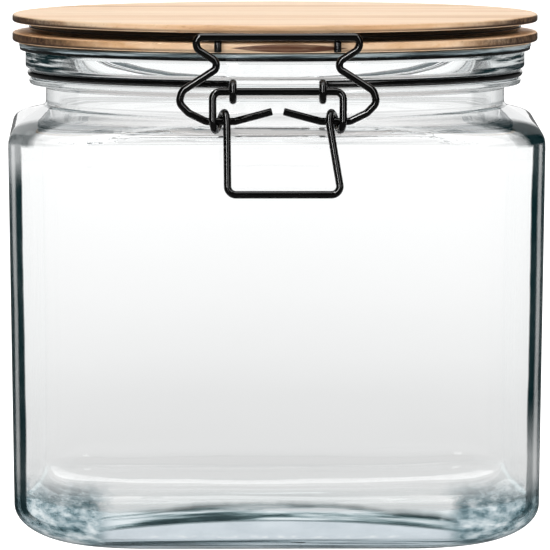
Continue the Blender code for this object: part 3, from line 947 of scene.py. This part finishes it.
def outer_sections():
    """(half, corner, z) from the middle of the underside up to the neck's foot."""
    sections = [(radius, radius, z) for radius, z in UNDERSIDE]
    for t in np.linspace(0, 1, 7):
        z = HOLLOW_RISE * (0.5 + 0.5 * math.cos(math.pi * t))
        sections.append((29.0 + 7.5 * t, 22.0 - 6.0 * t, z))
    low_half, low_corner = BODY_HALF_LOW - HEEL_IN, BODY_CORNER - HEEL_CORNER_IN
    sections.append((38.5, 13.0, 0.0))
    sections.append((low_half - 3.0, low_corner - 0.5, 0.0))
    for k in range(25):
        angle = k / 24 * math.pi / 2
        half = low_half + HEEL_IN * math.sin(angle)
        corner = low_corner + HEEL_CORNER_IN * math.sin(angle)
        sections.append((half, corner, HEEL_RISE * (1 - math.cos(angle))))
    for z in np.linspace(HEEL_RISE, SHOULDER_Z - 2.0, 26)[1:]:
        t = (z - HEEL_RISE) / (SHOULDER_Z - HEEL_RISE)
        half = BODY_HALF_LOW + (BODY_HALF_TOP - BODY_HALF_LOW) * t
        sections.append((half, BODY_CORNER, z))
    wanted = np.linspace(-0.2, 1.2, 44)
    rise = NECK_FOOT_Z - SHOULDER_Z
    for t, half, corner in narrowed(OUTER_SHOULDER, wanted, BODY_HALF_TOP, BODY_CORNER, NECK_R):
        sections.append((half, corner, SHOULDER_Z + rise * t))
    return sections


def inner_sections():
    """(half, corner, z) from below the bore down to the middle of the floor."""
    sections = []
    top_half, low_half = BODY_HALF_TOP - WALL, BODY_HALF_LOW - WALL
    inner_corner = BODY_CORNER - WALL
    wanted = np.linspace(114.4, INNER_TOP_Z, 36)
    for z, half, corner in narrowed(INNER_SHOULDER, wanted, top_half, inner_corner, BORE_R):
        sections.append((half, corner, z))
    for z in np.linspace(INNER_TOP_Z, FLOOR_Z + FLOOR_RISE, 24)[1:]:
        t = (z - FLOOR_Z - FLOOR_RISE) / (INNER_TOP_Z - FLOOR_Z - FLOOR_RISE)
        sections.append((low_half + (top_half - low_half) * t, inner_corner, z))
    for k in range(1, 25):
        angle = math.pi / 2 * (1 - k / 24)
        inward = 1 - math.sin(angle)
        half = low_half - (HEEL_IN - 1.0) * inward
        corner = inner_corner - FLOOR_CORNER_IN * inward
        sections.append((half, corner, FLOOR_Z + FLOOR_RISE * (1 - math.cos(angle))))
    for half in (40.0, 32.0):
        sections.append((half, 11.0 + (40.0 - half) * 0.9, FLOOR_Z))
    for radius in (22.0, 13.0, 6.0):
        sections.append((radius, radius, FLOOR_Z - 0.02))
    return sections


def swollen(x, y, z, inside):
    """A point of the wall moved by slow noise, most of all low down inside."""
    outward = Vector((x, y, 0.0)).normalized()
    spot = Vector((x * 0.022, y * 0.022, z * 0.016 + (7.0 if inside else 0.0)))
    low = max(0.0, 1.0 - abs(z - 14.0) / 16.0)
    amount = (0.16 + 0.45 * low) if inside else 0.05
    fade = min(1.0, (112.0 - z) / 6.0)
    offset = outward * (noise.noise(spot) * amount * fade)
    if inside and z < 18.0:
        lift = noise.noise(spot * 1.9 + Vector((3.0, 1.0, 2.0)))
        z += lift * 0.5 * min(1.0, (z - 3.0) / 4.0)
    return x + offset.x, y + offset.y, z


def glass_piece():
    neck = [(radius, radius, z) for radius, z in filleted(NECK_OUTLINE)]
    sections = outer_sections() + neck + inner_sections()
    count = BASE_COLUMNS
    rim = max(i for i, section in enumerate(sections) if section[2] >= RIM_Z - 1e-6)
    verts, faces = [], []
    for i, (half, corner, z) in enumerate(sections):
        inside = i > rim
        uneven = 3.0 < z < 112.0 and (inside or z > HEEL_RISE)
        for x, y in rounded_square(half, corner, count):
            verts.append(swollen(x, y, z, inside) if uneven else (x, y, z))
    for i in range(len(sections) - 1):
        here, there = i * count, (i + 1) * count
        for k in range(count):
            after = (k + 1) % count
            faces.append((here + k, here + after, there + after, there + k))
    centre_low, centre_high = len(verts), len(verts) + 1
    verts += [(0.0, 0.0, sections[0][2]), (0.0, 0.0, sections[-1][2])]
    last = (len(sections) - 1) * count
    for k in range(count):
        after = (k + 1) % count
        faces.append((centre_low, after, k))
        faces.append((centre_high, last + k, last + after))
    return finish_mesh("jar_glass", verts, faces, GLASS)


# ------------------------------------------------------------------ lid pieces
def upper_board():
    top = [(radius, TOP_Z) for radius in (0.0, 20.0, 40.0, 55.0)]
    profile = top + filleted(UPPER_EDGE, 12.0) + [(0.0, UPPER_LOW_Z)]
    return spun("upper_board", profile, WOOD_UPPER)


def lower_board():
    """The lower disc, with a core above it and a plug below."""
    profile = [(0.0, CORE_TOP_Z)] + filleted(LOWER_OUTLINE, 12.0) + [(0.0, PLUG_LOW_Z)]
    return spun("lower_board", profile, WOOD_LOWER)


def seal():
    # the outline ends where it starts, so its last point is dropped
    return spun("seal", filleted(SEAL_OUTLINE, 15.0)[:-1], SILICONE, closed=True)


# ----------------------------------------------------------------------- wires
def neck_ring():
    """Ring round the neck: eyes for the lever in front, risers to the hinge behind."""
    eye_top = tangent_angle(EYE_LEG_Y, NECK_RING_Z, PIVOT_Y, PIVOT_Z, 1)
    eye = coil(-EYE_X, -EYE_X, PIVOT_Y, PIVOT_Z, 332.0, eye_top)
    rest = bent([
        (vec(-EYE_X, EYE_LEG_Y, NECK_RING_Z), 0.0),
        *ring_half(
            NECK_RING_R, NECK_RING_Z, NECK_RING_END_X, NECK_RING_END_X, EYE_X, RISER_X
        ),
        (vec(-RISER_X, HINGE_Y - 2.4, NECK_RING_Z), BEND),
        (vec(-RISER_X, HINGE_Y, HINGE_Z), BEND),
        (vec(0.0, HINGE_Y, HINGE_Z), 0.0),
    ])
    return tube("neck_ring", with_mirror(eye + rest))


def lid_ring():
    """Ring in the lid's groove: bent down in front, coiled round the hinge behind."""
    hinge_coil = coil(-COIL_X_OUT, -COIL_X_IN, HINGE_Y, HINGE_Z, 0.0, -360.0)
    cross_z = HINGE_Z - CROSS_DROP
    half = bent([
        (vec(-HOOK_X, HOOK_Y, HOOK_LOW_Z), 0.0),
        (vec(-HOOK_X, HOOK_Y, LID_RING_Z), 1.5),
        *ring_half(
            LID_RING_R, LID_RING_Z, LID_RING_FRONT_X, LID_RING_REAR_X, HOOK_X, COIL_X_OUT
        ),
        (vec(-COIL_X_OUT, HINGE_Y + EYE_R, LID_RING_Z), BEND),
        *keep(hinge_coil),
        (vec(-COIL_X_IN, HINGE_Y + EYE_R, cross_z), 1.3),
        (vec(0.0, HINGE_Y + EYE_R, cross_z), 0.0),
    ])
    return tube("lid_ring", with_mirror(half))


def bail():
    """Leaning wire from the lever's coils up to a bar in front of the lid."""
    corners = []
    for x, z, bend in BAIL_CORNERS:
        lean = (BAR_Y - KNEE_Y) * (z - KNEE_Z) / (BAR_Z - KNEE_Z)
        corners.append((vec(-x, KNEE_Y + lean, z), bend))
    return tube("bail", with_mirror(bent(corners, step=6.0)))


def lever_side(side, low_x):
    """From the middle of the pivot, round the knee coil, to the handle's middle."""
    x_out, x_in = side * LEVER_X_OUT, side * LEVER_X_IN
    start = tangent_angle(PIVOT_Y, PIVOT_Z, KNEE_Y, KNEE_Z, 1)
    end = tangent_angle(HANDLE_Y, HANDLE_LOW_Z, KNEE_Y, KNEE_Z, -1) % 360.0 + 360.0
    return bent([
        (vec(0.0, PIVOT_Y, PIVOT_Z), 0.0),
        (vec(x_out, PIVOT_Y, PIVOT_Z), BEND),
        *keep(coil(x_out, x_in, KNEE_Y, KNEE_Z, start, end)),
        (vec(side * low_x, HANDLE_Y, HANDLE_LOW_Z), 2.2),
        (vec(0.0, HANDLE_Y, HANDLE_LOW_Z), 0.0),
    ])


def lever_handle():
    """Closed loop, its two sides meeting at the pivot and at the handle's foot."""
    left, right = lever_side(-1, HANDLE_LEFT_X), lever_side(1, HANDLE_RIGHT_X)
    return tube("lever_handle", left + right[::-1][1:-1], cyclic=True)


# (piece, frame node it replaces, body it rides, material slot)
for build, node, body, slot in (
    (glass_piece, "glass_jar", "jar", "glass"),
    (upper_board, "lid_upper_board", "lid", "wood"),
    (lower_board, "lid_lower_board", "lid", "wood"),
    (seal, "lid_gasket", "lid", "silicone"),
    (neck_ring, "neck_ring_wire", "jar", "black_wire"),
    (lid_ring, "lid_ring_wire", "lid", "black_wire"),
    (bail, "bail_wire", "bail", "black_wire"),
    (lever_handle, "lever_handle_wire", "lever", "black_wire"),
):
    piece = build()
    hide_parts(node)
    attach(piece, body)


# ----------------------------------------------------------------------- stage
def turn_to(obj, target):
    obj.rotation_mode = "QUATERNION"
    obj.rotation_quaternion = (Vector(target) - obj.location).to_track_quat("-Z", "Y")


def add_camera():
    """A long lens in front of the jar, a little above it."""
    data = bpy.data.cameras.new("camera")
    camera = link("camera", data)
    bpy.context.scene.camera = camera
    data.sensor_width = 36.0
    data.lens = 737.2
    data.clip_start, data.clip_end = 0.1, 60.0
    azimuth, away, height = math.radians(-0.6), 3.0, 0.278
    camera.location = (away * math.sin(azimuth), -away * math.cos(azimuth), height)
    turn_to(camera, (0.0, 0.0, 0.06896))
    return camera


def add_world(rig):
    """Surroundings in the camera's axes: x right, y up, z behind the camera."""
    world = bpy.data.worlds.new("studio")
    bpy.context.scene.world = world
    world.use_nodes = True
    n = Nodes(world.node_tree)
    x, y, z = n.split(n.vector("NORMALIZE", n.coords(object=rig)))

    def panel(value, middle, half, soft):
        """1 where value is within half of middle, fading over soft."""
        off = n.size(n.minus(value, middle))
        return n.remap(off, between=(half, half + soft), give=(1.0, 0.0), smooth=True)

    def background(strength):
        return n.add("Background", {"Color": WHITE, "Strength": strength})

    # what shiny things mirror: a dark studio with a top softbox and two strips
    behind = n.remap(z, between=(0.0, 0.2))
    left_strip = n.times(
        panel(x, middle=-0.34, half=0.035, soft=0.02),
        panel(y, middle=0.25, half=0.55, soft=0.15),
        behind,
    )
    right_strip = n.times(
        panel(x, middle=0.55, half=0.04, soft=0.04),
        panel(y, middle=0.25, half=0.45, soft=0.15),
        behind,
    )
    top_box = n.remap(y, between=(0.80, 0.90), smooth=True)
    shine = n.plus(n.times(left_strip, 42.0), n.times(right_strip, 8.0))
    shine = n.plus(shine, n.times(top_box, 3.6))
    backdrop = n.times(
        panel(x, middle=0.0, half=0.20, soft=0.10), n.remap(z, between=(-0.35, -0.60))
    )
    mirrored = background(n.plus(n.larger(shine, backdrop), 0.006))
    through_glass, fill, plain = background(1.10), background(0.55), background(1.02)
    path = n.add("LightPath").outputs
    seen = n.mix_shader(path["Is Glossy Ray"], fill, mirrored)
    by_glass = n.math("GREATER_THAN", path["Transmission Depth"], 0.5)
    seen = n.mix_shader(by_glass, seen, through_glass)
    seen = n.mix_shader(path["Is Camera Ray"], seen, plain)
    n.add("OutputWorld", {"Surface": seen})


def area_light(name, place, size, energy):
    data = bpy.data.lights.new(name, "AREA")
    data.shape = "RECTANGLE"
    data.size, data.size_y = size
    data.energy = energy
    light = link(name, data)
    light.location = place
    turn_to(light, (0.0, 0.0, 0.08))
    light.visible_camera = False
    light.visible_glossy = False


def floor_material():
    """Pale and glowing; brighter with distance through glass, dark in mirrors."""
    made, n = new_material("pale_floor")
    distance = n.vector("LENGTH", n.coords()).outputs["Value"]
    fading = n.ramp(n.math("DIVIDE", distance, 2.0), [
        (0.0, 0.60), (0.05, 0.665), (0.13, 0.715), (0.22, 0.75), (0.30, 0.82),
        (0.43, 0.89), (0.55, 0.93), (0.70, 0.97), (0.87, 1.0),
    ])
    through_glass = n.add("Emission", {"Color": fading, "Strength": 1.10})
    mirrored = n.add("Emission", {"Color": WHITE, "Strength": 0.10})
    diffuse = n.add("BsdfDiffuse", {"Color": 0.80})
    glow = n.add("Emission", {"Color": WHITE, "Strength": 0.80})
    direct = n.add("AddShader", {0: diffuse, 1: glow})
    path = n.add("LightPath").outputs
    seen = n.mix_shader(path["Is Glossy Ray"], direct, mirrored)
    by_glass = n.math("GREATER_THAN", path["Transmission Depth"], 0.5)
    n.add("OutputMaterial", {"Surface": n.mix_shader(by_glass, seen, through_glass)})
    return made


def add_floor():
    bm = bmesh.new()
    bmesh.ops.create_circle(bm, cap_ends=True, segments=128, radius=9.0)
    mesh = bpy.data.meshes.new("floor")
    bm.to_mesh(mesh)
    bm.free()
    floor = link("floor", mesh)
    floor.location.z = -0.0004
    mesh.materials.append(floor_material())


camera = add_camera()
# The studio turns with the camera, as round a turntable.
studio_rig = link("studio_rig", None)
studio_rig.constraints.new("COPY_ROTATION").target = camera
add_world(studio_rig)
area_light("top_softbox", place=(0.0, -0.15, 1.3), size=(1.3, 1.3), energy=6.9)
area_light("front_left_softbox", place=(-0.9, -1.5, 0.75), size=(0.5, 0.9), energy=4.2)
area_light("front_right_softbox", place=(1.0, -1.3, 0.65), size=(0.35, 0.8), energy=3.0)
area_light("rear_softbox", place=(0.3, 1.6, 1.0), size=(1.2, 0.7), energy=3.2)
add_floor()

view = bpy.context.scene.view_settings
view.view_transform = "Standard"
view.look = "None"
view.exposure = 0.0
view.gamma = 1.0
